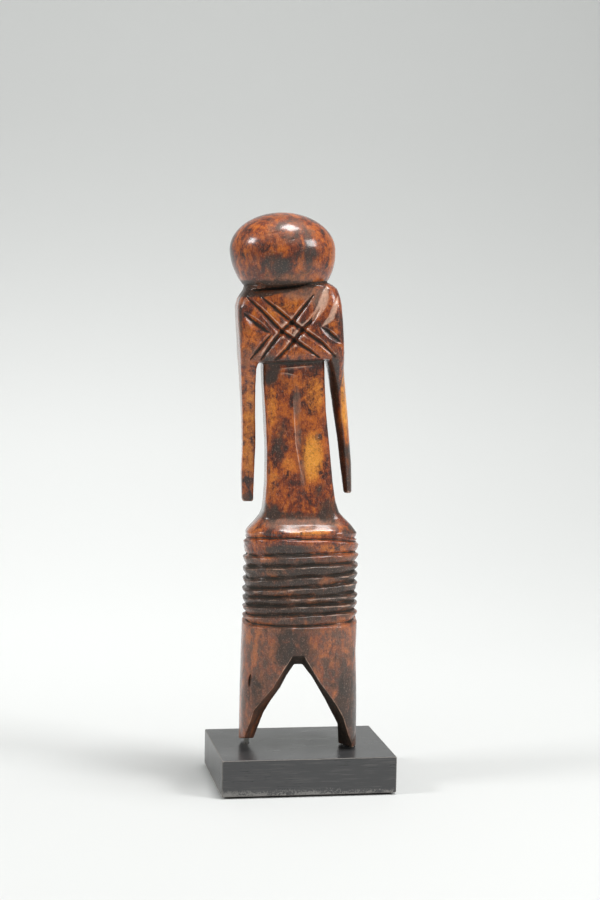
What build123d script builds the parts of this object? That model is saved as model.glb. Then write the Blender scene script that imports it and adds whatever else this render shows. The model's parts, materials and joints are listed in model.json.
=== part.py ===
"""A carved wooden fertility doll that stands on two steel pins in a black display plinth.

The doll is one piece of wood: egg-shaped head, notched neck, square chest cut with crossed
bands, two thin arms, a tapering trunk, a ringed skirt and a forked pair of legs.  The plinth
is a separate block with a felt sheet under it.  The doll lifts straight off its pins.

Frame: origin under the middle of the felt, +Z up, the doll faces -Y.  Millimetres.
Heights of the doll are measured from the top of the plinth and depths from its own axis.
"""

from build123d import *
from math import atan2, degrees, sqrt
import os

# Plinth and felt
PLINTH_WIDTH = 72.0
PLINTH_DEPTH = 57.0
PLINTH_HEIGHT = 15.0
PLINTH_EDGE = 0.6
FELT_THICKNESS = 0.8
FELT_INSET = 1.5
FELT_CORNER = 2.0
PLINTH_TOP = FELT_THICKNESS + PLINTH_HEIGHT

# Where the doll stands on the plinth
DOLL_X = -0.5
DOLL_Y = -3.6
DOLL_TURN = -4.5

# Pins: the doll rests on their rounded-off tops, so its feet hang just clear of the plinth
PIN_RADIUS = 1.0
PIN_CLEARANCE = 0.05
PIN_IN_PLINTH = 10.0
PIN_IN_FOOT = 12.0
PIN_CHAMFER = 0.3
PIN_X = 21.8
PIN_Y = 3.4
LEFT_FOOT_END = 2.2
RIGHT_FOOT_END = 0.6

# Legs and the fork cut between them; the fork is cut from the front and from the back and
# is narrowest along a ridge inside the wood
FOOT_HALF_WIDTH = 24.3
SKIRT_HALF_WIDTH = 23.4
SKIRT_HALF_DEPTH = 17.5
SKIRT_CORNER = 12.0
SKIRT_X = -0.8
LEG_TOP = 51.0
FORK_BOTTOM = -1.0
FORK_REACH = SKIRT_HALF_DEPTH + 2.0
FRONT_HALF_SPREAD = 25.2
FRONT_APEX = 37.5
FRONT_APEX_HALF_WIDTH = 2.0
RIDGE_HALF_SPREAD = 20.6
RIDGE_APEX = 33.5
RIDGE_APEX_HALF_WIDTH = 2.5

# Rings of the skirt: height of each groove at the doll's axis, and its slope in degrees
GROOVE_HEIGHTS = (52.5, 56.9, 60.6, 64.5, 69.0, 74.1, 77.4, 81.0, 86.3)
GROOVE_SLOPES = (1.0, 2.0, 2.5, 2.5, 3.0, 2.5, 1.5, 0.5, -1.5)
GROOVE_DEPTH = 1.3
GROOVE_WIDTH = 2.4
GROOVE_FLANK = 45.0
HIP_EDGE = 88.5

# Trunk: height, left edge, right edge, half depth, corner radius
TRUNK_SECTIONS = (
    (88.0, -24.0, 21.4, 16.4, 11.0),
    (90.5, -23.2, 21.6, 16.0, 10.5),
    (96.5, -17.6, 15.4, 11.6, 6.0),
    (102.0, -16.4, 12.9, 11.0, 5.0),
    (120.0, -15.8, 10.2, 10.6, 4.5),
    (140.0, -16.6, 8.4, 10.4, 4.0),
    (164.0, -17.8, 7.2, 10.4, 4.0),
)

# Chest, in the same five numbers, with its crossed bands cut in the front and back faces
CHEST_FACE = 14.2
CHEST_SECTIONS = (
    (159.5, -27.2, 15.6, 12.6, 4.0),
    (163.0, -27.4, 15.5, 13.6, 4.5),
    (176.0, -28.6, 14.3, CHEST_FACE, 5.0),
    (185.0, -29.1, 13.5, 13.8, 5.0),
    (188.5, -27.4, 12.2, 12.0, 5.0),
)
SHOULDER_SLOPE = 12.0
SHOULDER_TOP = 188.0
BAND_CENTRE = (-6.3, 173.2)
BAND_DEPTH = 1.2
BAND_WIDTH = 1.7
BAND_LIFT = 1.0
# Cuts of the crossed bands: first end and second end, each as across and up from their centre
BAND_CUTS = (
    ((-13.5, 13.0), (17.0, -10.5)),
    ((-19.0, 12.5), (10.5, -10.5)),
    ((-20.0, 6.0), (-9.5, -1.5)),
    ((11.0, 1.5), (19.0, -4.8)),
    ((7.8, 14.0), (-12.8, -11.4)),
    ((13.0, 16.0), (-7.5, -12.0)),
    ((17.0, 12.5), (11.0, 1.5)),
    ((-9.3, -2.0), (-17.0, -11.5)),
)

# Arms, in the same five numbers
LEFT_ARM_SECTIONS = (
    (102.6, -24.2, -21.4, 2.4, 0.8),
    (106.0, -25.0, -20.6, 3.2, 0.8),
    (128.0, -25.2, -20.4, 3.8, 0.8),
    (148.0, -26.1, -20.9, 4.4, 0.8),
    (162.0, -27.3, -20.9, 5.0, 0.8),
)
RIGHT_ARM_SECTIONS = (
    (106.0, 17.5, 19.6, 2.2, 0.8),
    (109.0, 16.8, 20.1, 3.0, 0.8),
    (128.0, 13.8, 18.8, 3.8, 0.8),
    (146.0, 11.1, 17.1, 4.4, 0.8),
    (162.0, 9.3, 15.6, 5.0, 0.8),
)

# Neck and head
NECK_HALF_WIDTH = 16.0
NECK_HALF_DEPTH = 12.0
NECK_FOOT = 176.0
HEAD_X = -10.2
HEAD_BOTTOM = 190.0
HEAD_HEIGHT = 30.3
HEAD_HALF_WIDTH = 21.5
HEAD_HALF_DEPTH = 19.0
HEAD_WIDEST = 15.0
HEAD_TAPER = 26.7
HEAD_SECTIONS = 8

UP_FROM_BASE = (Align.CENTER, Align.CENTER, Align.MIN)


def section(height, left, right, half_depth, corner):
    """Returns a flat rounded rectangle, level, at this height and between these edges."""
    outline = RectangleRounded(right - left, 2 * half_depth, corner)
    return Pos((left + right) / 2, 0, height) * outline


def stacked(sections):
    """Returns the solid with straight sides from each section to the next."""
    return loft([section(*numbers) for numbers in sections], ruled=True)


def skirt_section(height, half_width):
    """Returns the rounded outline that the skirt and the legs share, at this height."""
    left, right = SKIRT_X - half_width, SKIRT_X + half_width
    return section(height, left, right, SKIRT_HALF_DEPTH, SKIRT_CORNER)


def make_legs():
    """Returns the leg block before it is forked."""
    foot = skirt_section(RIGHT_FOOT_END, FOOT_HALF_WIDTH)
    top = skirt_section(LEG_TOP, SKIRT_HALF_WIDTH)
    return loft([foot, top], ruled=True)


def fork_outline(depth, half_spread, apex, apex_half_width):
    """Returns the fork's outline in an upright plane at this depth, open below the feet."""
    corners = [
        (-half_spread, FORK_BOTTOM),
        (half_spread, FORK_BOTTOM),
        (apex_half_width, apex),
        (-apex_half_width, apex),
    ]
    outline = Plane.XZ * make_face(Polyline(*corners, close=True))
    return Pos(0, depth, 0) * outline


def make_fork():
    """Returns the cutter between the legs: two wedges that meet in a ridge inside the wood."""
    wide = FRONT_HALF_SPREAD, FRONT_APEX, FRONT_APEX_HALF_WIDTH
    narrow = RIDGE_HALF_SPREAD, RIDGE_APEX, RIDGE_APEX_HALF_WIDTH
    ridge = fork_outline(0, *narrow)
    front = loft([fork_outline(-FORK_REACH, *wide), ridge], ruled=True)
    back = loft([ridge, fork_outline(FORK_REACH, *wide)], ruled=True)
    return front + back


def make_foot_trim():
    """Returns the block that shortens the left foot."""
    trim = Box(PLINTH_WIDTH / 2, PLINTH_DEPTH, LEFT_FOOT_END, align=UP_FROM_BASE)
    return Pos(-PLINTH_WIDTH / 4, 0, 0) * trim


def make_skirt():
    """Returns the skirt with a V groove between each ring and the next."""
    base = skirt_section(LEG_TOP - 1, SKIRT_HALF_WIDTH)
    skirt = extrude(base, HIP_EDGE - LEG_TOP + 1)
    for height, slope in zip(GROOVE_HEIGHTS, GROOVE_SLOPES):
        skirt -= Pos(SKIRT_X, 0, height) * Rot(Y=-slope) * make_groove()
    return skirt


def make_groove():
    """Returns a level V-shaped cutter that runs once round the skirt."""
    outline = RectangleRounded(2 * SKIRT_HALF_WIDTH, 2 * SKIRT_HALF_DEPTH, SKIRT_CORNER)
    ring = Pos(0, 0, -GROOVE_WIDTH / 2) * extrude(offset(outline, GROOVE_DEPTH), GROOVE_WIDTH)
    core = extrude(offset(outline, -GROOVE_DEPTH), GROOVE_WIDTH / 2, taper=-GROOVE_FLANK)
    return ring - core - mirror(core, about=Plane.XY)


def make_band_cut(start, end, facing):
    """Returns a V-shaped cutter across the chest from start to end; facing is -1 in front."""
    run = Vector(*end) - Vector(*start)
    middle = Vector(*BAND_CENTRE) + (Vector(*start) + Vector(*end)) / 2
    half_width = BAND_WIDTH / 2 * (1 + BAND_LIFT / BAND_DEPTH)
    tip = (-facing * BAND_DEPTH, 0)
    lip = facing * BAND_LIFT
    profile = Plane.YZ * make_face(Polyline(tip, (lip, half_width), (lip, -half_width), close=True))
    cutter = extrude(profile, run.length / 2, both=True)
    climb = degrees(atan2(run.Y, run.X))
    return Pos(middle.X, facing * CHEST_FACE, middle.Y) * Rot(Y=-climb) * cutter


def make_chest():
    """Returns the chest with sloping shoulders and the crossed bands on its front and back."""
    above = Box(PLINTH_WIDTH, PLINTH_DEPTH, CHEST_FACE, align=UP_FROM_BASE)
    chest = stacked(CHEST_SECTIONS) - Pos(HEAD_X, 0, SHOULDER_TOP) * Rot(Y=-SHOULDER_SLOPE) * above
    for start, end in BAND_CUTS:
        chest -= make_band_cut(start, end, -1)
        chest -= make_band_cut(start, end, 1)
    return chest


def make_neck():
    """Returns the neck, which reaches from inside the chest to the head's flat underside."""
    outline = Pos(HEAD_X, 0, NECK_FOOT) * Ellipse(NECK_HALF_WIDTH, NECK_HALF_DEPTH)
    return extrude(outline, HEAD_BOTTOM - NECK_FOOT)


def head_section(height):
    """Returns the ellipse of the head at this height above its flat underside."""
    reach = HEAD_HEIGHT - HEAD_WIDEST if height > HEAD_WIDEST else HEAD_TAPER
    share = sqrt(1 - ((height - HEAD_WIDEST) / reach) ** 2)
    outline = Ellipse(HEAD_HALF_WIDTH * share, HEAD_HALF_DEPTH * share)
    return Pos(HEAD_X, 0, HEAD_BOTTOM + height) * outline


def make_head():
    """Returns the egg-shaped head with its flat underside; sections crowd towards the top."""
    steps = [step / HEAD_SECTIONS for step in range(HEAD_SECTIONS)]
    sections = [head_section(HEAD_HEIGHT * (1.5 * step - 0.5 * step**3)) for step in steps]
    return loft(sections + [Vertex(HEAD_X, 0, HEAD_BOTTOM + HEAD_HEIGHT)])


def pin_places():
    """Returns the middle of each pin in the doll's own axes, with its foot's lower end."""
    return ((-PIN_X, PIN_Y, LEFT_FOOT_END), (PIN_X, -PIN_Y, RIGHT_FOOT_END))


def make_doll():
    """Returns the whole carving, in its own axes, with a pin hole in each foot."""
    lower = make_legs() - make_fork() - make_foot_trim()
    doll = lower + make_skirt() + stacked(TRUNK_SECTIONS) + make_chest()
    doll += stacked(LEFT_ARM_SECTIONS) + stacked(RIGHT_ARM_SECTIONS)
    doll += make_neck() + make_head()
    for x, y, foot_end in pin_places():
        hole = Cylinder(PIN_RADIUS + PIN_CLEARANCE, foot_end + PIN_IN_FOOT, align=UP_FROM_BASE)
        doll -= Pos(x, y, 0) * hole
    return doll


def on_plinth(shape):
    """Returns a shape moved from the doll's own axes to where the doll stands."""
    return Pos(DOLL_X, DOLL_Y, PLINTH_TOP) * Rot(Z=DOLL_TURN) * shape


def make_pin(x, y, foot_end):
    """Returns a pin whose lower end is in the plinth and whose top carries the doll."""
    length = PIN_IN_PLINTH + foot_end + PIN_IN_FOOT
    pin = Cylinder(PIN_RADIUS, length, align=UP_FROM_BASE)
    pin = chamfer(pin.edges().filter_by(GeomType.CIRCLE), PIN_CHAMFER)
    return on_plinth(Pos(x, y, -PIN_IN_PLINTH) * pin)


def make_plinth():
    """Returns the block with eased edges and a drilled hole for each pin."""
    block = Box(PLINTH_WIDTH, PLINTH_DEPTH, PLINTH_HEIGHT, align=UP_FROM_BASE)
    block = Pos(0, 0, FELT_THICKNESS) * chamfer(block.edges(), PLINTH_EDGE)
    for x, y, _ in pin_places():
        hole = Cylinder(PIN_RADIUS, PIN_IN_PLINTH, align=UP_FROM_BASE)
        block -= on_plinth(Pos(x, y, -PIN_IN_PLINTH) * hole)
    return block


def make_felt():
    """Returns the felt sheet under the plinth."""
    width, depth = PLINTH_WIDTH - 2 * FELT_INSET, PLINTH_DEPTH - 2 * FELT_INSET
    return extrude(RectangleRounded(width, depth, FELT_CORNER), FELT_THICKNESS)


left_pin, right_pin = [make_pin(*place) for place in pin_places()]
nodes = {
    "carved_figure": on_plinth(make_doll()),
    "plinth_block": make_plinth(),
    "left_foot_pin": left_pin,
    "right_foot_pin": right_pin,
    "felt_sheet": make_felt(),
}

os.makedirs("parts", exist_ok=True)
for name, shape in nodes.items():
    export_step(shape, f"parts/{name}.step")
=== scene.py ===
"""A carved wooden fertility doll on its black display plinth.

The doll is one block of wood, so it is one piece here too: its forms are lofted, joined and
remeshed into a blank, then cut with gouge strokes and smoothed.  Its patina follows the
carving: the cuts are darkened with sooty blackening and painted shade, the edges and some
facets are lightened by rubbing and painted highlights, painted shadow darkens the neck notch,
the trunk under the chest and the inside of the fork, and painted sheen pales some faces.  The
plinth and the felt under it are separate pieces, and the steel pins are the frame's own.

Forms are sized in millimetres in the doll's own axes: +X to the viewer's right, the front
facing -Y, heights from the top of the plinth.  They are placed in the frame's metres last.
"""

from __future__ import annotations

import json
import logging
from dataclasses import dataclass, field, replace
from enum import Enum
from math import atan2, cos, pi, radians, sin
from typing import Sequence

import bpy
import numpy as np
from mathutils import Matrix, Vector, noise

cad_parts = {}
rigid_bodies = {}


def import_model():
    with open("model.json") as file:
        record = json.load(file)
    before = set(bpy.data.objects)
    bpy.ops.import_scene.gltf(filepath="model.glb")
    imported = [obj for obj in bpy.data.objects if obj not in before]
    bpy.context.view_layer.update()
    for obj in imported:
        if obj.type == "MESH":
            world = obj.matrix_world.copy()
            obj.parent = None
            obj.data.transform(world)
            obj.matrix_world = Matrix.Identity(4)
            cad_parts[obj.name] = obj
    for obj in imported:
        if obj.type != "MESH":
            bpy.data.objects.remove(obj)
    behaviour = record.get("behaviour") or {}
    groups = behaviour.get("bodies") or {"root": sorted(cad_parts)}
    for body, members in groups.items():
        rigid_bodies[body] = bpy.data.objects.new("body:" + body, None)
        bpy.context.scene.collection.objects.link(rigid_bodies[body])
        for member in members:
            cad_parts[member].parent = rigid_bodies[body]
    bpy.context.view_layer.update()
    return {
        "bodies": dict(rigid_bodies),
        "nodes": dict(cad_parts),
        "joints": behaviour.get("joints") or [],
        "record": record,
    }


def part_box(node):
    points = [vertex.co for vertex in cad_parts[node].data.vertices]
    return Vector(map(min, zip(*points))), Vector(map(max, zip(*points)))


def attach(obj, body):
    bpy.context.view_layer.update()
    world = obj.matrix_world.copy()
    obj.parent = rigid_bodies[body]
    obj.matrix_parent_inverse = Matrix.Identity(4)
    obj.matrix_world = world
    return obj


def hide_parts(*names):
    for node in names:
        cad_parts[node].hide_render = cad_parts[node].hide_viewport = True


LOG = logging.getLogger("doll")
MM = 0.001
FULL_TURN = 2 * pi
TINY = 1e-6
WOBBLE_SEED = 5

Piece = bpy.types.Object
Triple = tuple[float, float, float]
Pair = tuple[float, float]
Line = tuple[Pair, ...]


# ---- bench work


@dataclass(frozen=True)
class Section:
    """A level outline of a form, between straight sides and an ellipse in shape.

    Its wobble follows a noise with so many waves across and one for so many millimetres up.
    """

    height: float
    left: float
    right: float
    half_depth: float
    squareness: float = 3.0
    rise: float = 0.0
    bow: float = 0.0
    wobble: float = 0.0
    waves_across: float = 2.2
    wave_height: float = 3.0

    def point(self, angle: float) -> Vector:
        """Returns the outline's point at this angle.

        Args:
            angle: radians from +X, towards +Y.

        Returns:
            The point, raised by the outline's rise to the right and its bow at the front.
        """
        power = 2 / self.squareness
        across = np.sign(cos(angle)) * abs(cos(angle)) ** power
        back = np.sign(sin(angle)) * abs(sin(angle)) ** power
        middle, half_width = (self.left + self.right) / 2, (self.right - self.left) / 2
        lift = self.rise * across - self.bow * back
        waves = self.waves_across
        spot = Vector((waves * across, waves * back, self.height / self.wave_height))
        shake = noise.noise_vector(spot) * self.wobble
        reach = 1 + shake.x / half_width
        x, y = middle + half_width * across * reach, self.half_depth * back * reach
        return Vector((x, y, self.height + lift + shake.z))


@dataclass(frozen=True)
class Slice:
    """An upright outline of a cutter, given by its corners across and up."""

    depth: float
    corners: Line

    def point(self, angle: float) -> Vector:
        """Returns the corner that this angle counts off."""
        across, up = self.corners[round(angle / FULL_TURN * len(self.corners)) % len(self.corners)]
        return Vector((across, self.depth, up))


@dataclass(frozen=True)
class Wedge:
    """A triangle across a form, with its mouth at one depth and its tip at another."""

    across: float
    low: float
    high: float
    tip: float
    mouth: float = -18.0
    tip_share: float = 0.65

    def point(self, angle: float) -> Vector:
        """Returns the corner that this angle counts off."""
        tip_height = (1 - self.tip_share) * self.low + self.tip_share * self.high
        corners = (self.mouth, self.low), (self.mouth, self.high), (self.tip, tip_height)
        depth, up = corners[round(angle / FULL_TURN * 3) % 3]
        return Vector((self.across, depth, up))

    def turned(self) -> Wedge:
        """Returns the same wedge cut from the back."""
        return Wedge(self.across, self.low, self.high, -self.tip, -self.mouth)


Outline = Section | Slice | Wedge


class Bench:
    """Operator calls that every piece is made with."""

    @staticmethod
    def clear() -> None:
        """Leaves edit mode and deselects everything."""
        if bpy.context.object and bpy.context.object.mode != "OBJECT":
            bpy.ops.object.mode_set(mode="OBJECT")
        bpy.ops.object.select_all(action="DESELECT")

    @staticmethod
    def pick(*objects: Piece) -> None:
        """Selects these objects and makes the first one active."""
        Bench.clear()
        for one in objects:
            one.select_set(True)
        bpy.context.view_layer.objects.active = objects[0]

    @staticmethod
    def named(name: str) -> Piece:
        """Names the object that was just added and returns it."""
        piece = bpy.context.active_object
        piece.name = name
        return piece

    @staticmethod
    def edit(piece: Piece) -> None:
        """Opens a piece in edit mode with all of it selected."""
        Bench.pick(piece)
        bpy.ops.object.mode_set(mode="EDIT")
        bpy.ops.mesh.select_all(action="SELECT")

    @staticmethod
    def outward(piece: Piece) -> None:
        """Turns a piece's faces outward."""
        Bench.edit(piece)
        bpy.ops.mesh.normals_make_consistent(inside=False)
        bpy.ops.object.mode_set(mode="OBJECT")

    @staticmethod
    def modify(piece: Piece, kind: str, **settings: object) -> None:
        """Adds one modifier to a piece and applies it.

        Args:
            piece: the piece.
            kind: the modifier's type.
            settings: the modifier's own values.
        """
        Bench.pick(piece)
        modifier = piece.modifiers.new(kind.lower(), kind)
        for key, value in settings.items():
            setattr(modifier, key, value)
        bpy.ops.object.modifier_apply(modifier=modifier.name)

    @staticmethod
    def cut(piece: Piece, cutter: Piece) -> None:
        """Cuts a closed cutter out of a piece and throws the cutter away."""
        Bench.modify(piece, "BOOLEAN", operation="DIFFERENCE", solver="EXACT", object=cutter)
        bpy.data.objects.remove(cutter)

    @staticmethod
    def ease(piece: Piece, width: float, angle: float) -> None:
        """Rounds the edges that turn by more than an angle."""
        Bench.modify(piece, "BEVEL", width=width, segments=3, limit_method="ANGLE", angle_limit=angle)

    @staticmethod
    def loft(name: str, outlines: Sequence[Outline], around: int) -> Piece:
        """Extrudes a disc through its outlines.

        Args:
            name: the new object's name.
            outlines: from the first end to the last.
            around: how many points each outline has.

        Returns:
            The closed form.
        """
        Bench.clear()
        bpy.ops.mesh.primitive_circle_add(vertices=around, radius=1, fill_type="NGON")
        form = Bench.named(name)
        Bench.edit(form)
        for _ in outlines[1:]:
            bpy.ops.mesh.extrude_region_move(TRANSFORM_OT_translate={"value": (0, 0, 1)})
        bpy.ops.object.mode_set(mode="OBJECT")
        for vertex in form.data.vertices:
            angle = atan2(vertex.co.y, vertex.co.x) % FULL_TURN
            vertex.co = outlines[round(vertex.co.z)].point(angle)
        Bench.outward(form)
        return form

    @staticmethod
    def block(name: str, middle: Sequence[float], size: Sequence[float]) -> Piece:
        """Returns a box of this size about its middle."""
        Bench.clear()
        bpy.ops.mesh.primitive_cube_add(size=1, location=middle, scale=size)
        bpy.ops.object.transform_apply(location=True, rotation=True, scale=True)
        return Bench.named(name)

    @staticmethod
    def peg(
        name: str, x: float, y: float, low: float, high: float, radius: float, sides: int = 48
    ) -> Piece:
        """Returns an upright round cutter, from its place, its two ends and its radius."""
        middle = (x, y, (low + high) / 2)
        Bench.clear()
        bpy.ops.mesh.primitive_cylinder_add(
            vertices=sides, radius=radius, depth=high - low, location=middle
        )
        bpy.ops.object.transform_apply(location=True, rotation=True, scale=True)
        return Bench.named(name)


class Surface:
    """The points of a dense mesh, moved and measured together."""

    def __init__(self, piece: Piece) -> None:
        """Reads the piece's points, normals and edges."""
        self.piece = piece
        self.count = len(piece.data.vertices)
        self.points = self._read("vertices", "co")
        self.normals = self._read("vertices", "normal")
        ends = np.empty(len(piece.data.edges) * 2, np.int32)
        piece.data.edges.foreach_get("vertices", ends)
        self.ends = ends.reshape(-1, 2)
        self.links = np.bincount(self.ends.ravel(), minlength=self.count).clip(1)

    def _read(self, layer: str, value: str) -> np.ndarray:
        """Returns one vector value of every vertex."""
        values = np.empty(self.count * 3, np.float32)
        getattr(self.piece.data, layer).foreach_get(value, values)
        return values.reshape(-1, 3).astype(float)

    def write(self) -> None:
        """Puts the moved points back into the mesh."""
        self.piece.data.vertices.foreach_set("co", self.points.astype(np.float32).ravel())
        self.piece.data.update()

    def averaged(self, values: np.ndarray, rounds: int) -> np.ndarray:
        """Averages a value with its neighbours along the surface.

        Args:
            values: one number or one vector a vertex.
            rounds: how many times to average.

        Returns:
            The smoothed values.
        """
        flat = values.reshape(self.count, -1).copy()
        one, other = self.ends[:, 0], self.ends[:, 1]
        for _ in range(rounds):
            for column in range(flat.shape[1]):
                now = flat[:, column]
                total = np.bincount(one, now[other], self.count)
                total += np.bincount(other, now[one], self.count)
                flat[:, column] = 0.5 * now + 0.5 * total / self.links
        return flat.reshape(values.shape)

    def hollowness(self, rounds: int) -> np.ndarray:
        """Returns how far each point lies under its surroundings, averaged this many rounds."""
        lifted = self.averaged(self.points, rounds) - self.points
        return np.einsum("ij,ij->i", lifted, self.normals)

    def store(self, name: str, values: np.ndarray) -> None:
        """Keeps one number a vertex as an attribute that materials read."""
        mesh = self.piece.data
        layer = mesh.attributes.get(name) or mesh.attributes.new(name, "FLOAT", "POINT")
        layer.data.foreach_set("value", values.astype(np.float32))


def ramp(values: np.ndarray, low: float, high: float) -> np.ndarray:
    """Returns values eased from 0 at low to 1 at high."""
    share = np.clip((values - low) / (high - low), 0, 1)
    return share * share * (3 - 2 * share)


def ripple(points: np.ndarray, stretch: Triple, seed: float) -> np.ndarray:
    """Returns smooth noise, about -1 to 1, at these points.

    Args:
        points: places in millimetres.
        stretch: the size of the noise's features along each axis.
        seed: picks another part of the same noise.

    Returns:
        One number a place.
    """
    scaled = points / np.array(stretch) + seed
    return np.array([noise.noise(place) for place in scaled.tolist()])


# ---- gouge strokes


class Face(Enum):
    """The side of the doll that a stroke is cut into, as the sign of its depth."""

    FRONT = -1
    BACK = 1


BOTH = (Face.FRONT, Face.BACK)


@dataclass(frozen=True)
class Stroke:
    """One stroke of a V gouge: a groove that fades in and out along its path.

    A negative depth raises a ridge.  Its slant widens the wall on the left hand of someone who
    follows the path.  It marks what faces the gouge by more than the facing.
    """

    path: Line
    width: float = 2.8
    depth: float = 1.7
    fullness: float = 0.3
    # How far the stroke lightens the wood: rubbing, and painted highlight on broad facets and raised
    # lines.
    rounded: bool = False
    wear_and_highlight: float = 0.0
    slant: float = 0.0
    face: Face = Face.FRONT
    facing: float = 0.2

    def turned(self, about: float) -> Stroke:
        """Returns the stroke's mirror image on the back, about an upright line."""
        path = tuple((2 * about - across, up) for across, up in self.path)
        return replace(self, path=path, slant=-self.slant, face=Face.BACK)

    def cut(self, surface: Surface) -> np.ndarray:
        """Presses the stroke into a surface.

        Args:
            surface: what is cut.

        Returns:
            How deep the stroke is at each point, as a share of its depth.
        """
        spots = np.array(self.path)
        runs = np.diff(spots, axis=0)
        lengths = np.hypot(*runs.T)
        before = np.concatenate([[0], np.cumsum(lengths)])
        faces = surface.normals[:, 1] * self.face.value > self.facing
        low, high = spots.min(0) - self.width, spots.max(0) + self.width
        flat = surface.points[:, (0, 2)]
        near = np.flatnonzero(faces & (flat > low).all(1) & (flat < high).all(1))
        gap = np.full(len(near), np.inf)
        along = np.zeros(len(near))
        side = np.zeros(len(near))
        for start, run, length, done in zip(spots, runs, lengths, before):
            offset = flat[near] - start
            share = np.clip(offset @ run / length**2, 0, 1)
            distance = np.hypot(*(offset - share[:, None] * run).T)
            closer = distance < gap
            gap[closer] = distance[closer]
            along[closer] = (done + share[closer] * length) / before[-1]
            side[closer] = np.sign(run[0] * offset[:, 1] - run[1] * offset[:, 0])[closer]
        swell = np.sin(pi * along.clip(0, 1)) ** self.fullness
        reach = self.width / 2 * swell * (1 + self.slant * side)
        share = np.clip(1 - gap / (reach + TINY), 0, 1)
        if self.rounded:
            share = ramp(share, 0, 1)
        pressed = np.zeros(surface.count)
        pressed[near] = share * swell
        surface.points[:, 1] -= self.face.value * self.depth * pressed
        return pressed


# ---- shader expressions


class Signal:
    """A number in a material's node tree, written with Python's own operators."""

    def __init__(self, shop: Palette, socket: bpy.types.NodeSocket) -> None:
        """Wraps a socket of the tree that shop builds."""
        self.shop = shop
        self.socket = socket

    def _maths(self, operation: str, *values: object) -> Signal:
        """Adds a Math node with these values and returns its result."""
        node = self.shop.node("ShaderNodeMath", {"operation": operation}, dict(enumerate(values)))
        return Signal(self.shop, node.outputs[0])

    def __add__(self, other: object) -> Signal:
        """Adds."""
        return self._maths("ADD", self, other)

    __radd__ = __add__

    def __mul__(self, other: object) -> Signal:
        """Multiplies."""
        return self._maths("MULTIPLY", self, other)

    __rmul__ = __mul__

    def __sub__(self, other: object) -> Signal:
        """Subtracts."""
        return self._maths("SUBTRACT", self, other)

    def __rsub__(self, other: object) -> Signal:
        """Subtracts this from a number."""
        return self._maths("SUBTRACT", other, self)

    def top(self, other: object) -> Signal:
        """Returns the larger of two numbers."""
        return self._maths("MAXIMUM", self, other)

    def size(self) -> Signal:
        """Returns the number without its sign."""
        return self._maths("ABSOLUTE", self)

    def eased(self, low: float, high: float) -> Signal:
        """Returns 0 below low and 1 above high, eased between."""
        node = self.shop.node(
            "ShaderNodeMapRange",
            {"interpolation_type": "SMOOTHSTEP"},
            {"Value": self, "From Min": low, "From Max": high},
        )
        return Signal(self.shop, node.outputs[0])


Colour = Triple


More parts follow.
